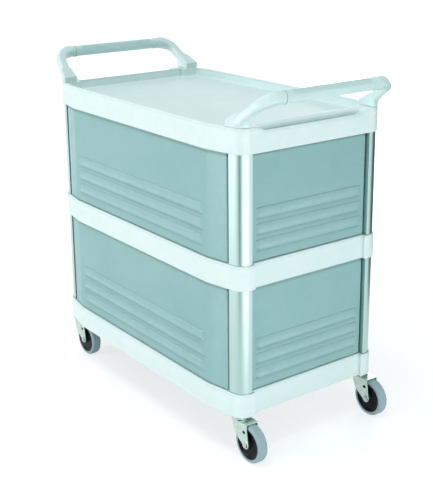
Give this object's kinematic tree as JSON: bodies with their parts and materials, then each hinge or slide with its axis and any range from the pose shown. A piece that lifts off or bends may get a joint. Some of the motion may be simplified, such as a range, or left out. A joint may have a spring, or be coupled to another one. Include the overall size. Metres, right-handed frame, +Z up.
{
  "type": "service cart",
  "caption": "Service cart with tray shelves, closed front and ends, open back, end handles and swivel casters.",
  "frame": {"origin": "on the floor, under the middle of the cart's outline", "axes": "+X along the cart to its right end, -Y out of the closed long side, +Z up"},
  "size_m": [1.0406, 0.508, 0.9636],
  "materials": {
    "shelf_foam": "fine pebbled structural foam, off-white with a green cast",
    "upright_aluminium": "satin brushed along its length",
    "panel_plastic": "fine grain, grey teal",
    "handle_plastic": "smooth satin, off-white",
    "grip_plastic": "satin, slightly darker than the handle",
    "screw_steel": "zinc plated",
    "fork_zinc": "bright zinc with a pale green cast",
    "race_zinc": "bright zinc with a pale green cast",
    "stem_steel": "zinc plated",
    "ball_steel": "polished",
    "axle_steel": "zinc plated",
    "hub_plastic": "fine matt black",
    "tyre_rubber": "blue grey, smooth"
  },
  "bodies": {
    "cart": {"top_shelf": "shelf_foam", "middle_shelf": "shelf_foam", "bottom_shelf": "shelf_foam", "upright_front_right": "upright_aluminium", "upright_back_right": "upright_aluminium", "upright_front_left": "upright_aluminium", "upright_back_left": "upright_aluminium", "front_panel_upper": "panel_plastic", "front_panel_lower": "panel_plastic", "right_panel_upper": "panel_plastic", "right_panel_lower": "panel_plastic", "left_panel_upper": "panel_plastic", "left_panel_lower": "panel_plastic", "handle_right": "handle_plastic", "handle_left": "handle_plastic", "grip_right": "grip_plastic", "grip_left": "grip_plastic", "handle_screws": "screw_steel", "upright_screws": "screw_steel", "caster_front_right_stem": "stem_steel", "caster_front_right_race": "race_zinc", "caster_front_right_balls": "ball_steel", "caster_back_right_stem": "stem_steel", "caster_back_right_race": "race_zinc", "caster_back_right_balls": "ball_steel", "caster_front_left_stem": "stem_steel", "caster_front_left_race": "race_zinc", "caster_front_left_balls": "ball_steel", "caster_back_left_stem": "stem_steel", "caster_back_left_race": "race_zinc", "caster_back_left_balls": "ball_steel"},
    "fork_front_right": {"caster_front_right_fork": "fork_zinc", "caster_front_right_axle": "axle_steel", "caster_front_right_sleeve": "axle_steel", "caster_front_right_nut": "axle_steel"},
    "wheel_front_right": {"caster_front_right_wheel": "hub_plastic", "caster_front_right_tyre": "tyre_rubber"},
    "fork_back_right": {"caster_back_right_fork": "fork_zinc", "caster_back_right_axle": "axle_steel", "caster_back_right_sleeve": "axle_steel", "caster_back_right_nut": "axle_steel"},
    "wheel_back_right": {"caster_back_right_wheel": "hub_plastic", "caster_back_right_tyre": "tyre_rubber"},
    "fork_front_left": {"caster_front_left_fork": "fork_zinc", "caster_front_left_axle": "axle_steel", "caster_front_left_sleeve": "axle_steel", "caster_front_left_nut": "axle_steel"},
    "wheel_front_left": {"caster_front_left_wheel": "hub_plastic", "caster_front_left_tyre": "tyre_rubber"},
    "fork_back_left": {"caster_back_left_fork": "fork_zinc", "caster_back_left_axle": "axle_steel", "caster_back_left_sleeve": "axle_steel", "caster_back_left_nut": "axle_steel"},
    "wheel_back_left": {"caster_back_left_wheel": "hub_plastic", "caster_back_left_tyre": "tyre_rubber"}
  },
  "joints": [
    {"name": "swivel_front_right", "type": "hinge", "parent": "cart", "child": "fork_front_right", "pos_m": [0.4175, -0.21238, 0.1045], "axis": [0, 0, 1], "continuous": true},
    {"name": "wheel_spin_front_right", "type": "hinge", "parent": "fork_front_right", "child": "wheel_front_right", "pos_m": [0.4655, -0.21238, 0.0508], "axis": [0, 1, 0], "continuous": true},
    {"name": "swivel_back_right", "type": "hinge", "parent": "cart", "child": "fork_back_right", "pos_m": [0.4175, 0.21238, 0.1045], "axis": [0, 0, 1], "continuous": true},
    {"name": "wheel_spin_back_right", "type": "hinge", "parent": "fork_back_right", "child": "wheel_back_right", "pos_m": [0.4655, 0.21238, 0.0508], "axis": [0, 1, 0], "continuous": true},
    {"name": "swivel_front_left", "type": "hinge", "parent": "cart", "child": "fork_front_left", "pos_m": [-0.4175, -0.21238, 0.1045], "axis": [0, 0, 1], "continuous": true},
    {"name": "wheel_spin_front_left", "type": "hinge", "parent": "fork_front_left", "child": "wheel_front_left", "pos_m": [-0.3695, -0.21238, 0.0508], "axis": [0, 1, 0], "continuous": true},
    {"name": "swivel_back_left", "type": "hinge", "parent": "cart", "child": "fork_back_left", "pos_m": [-0.4175, 0.21238, 0.1045], "axis": [0, 0, 1], "continuous": true},
    {"name": "wheel_spin_back_left", "type": "hinge", "parent": "fork_back_left", "child": "wheel_back_left", "pos_m": [-0.3695, 0.21238, 0.0508], "axis": [0, 1, 0], "continuous": true}
  ]
}
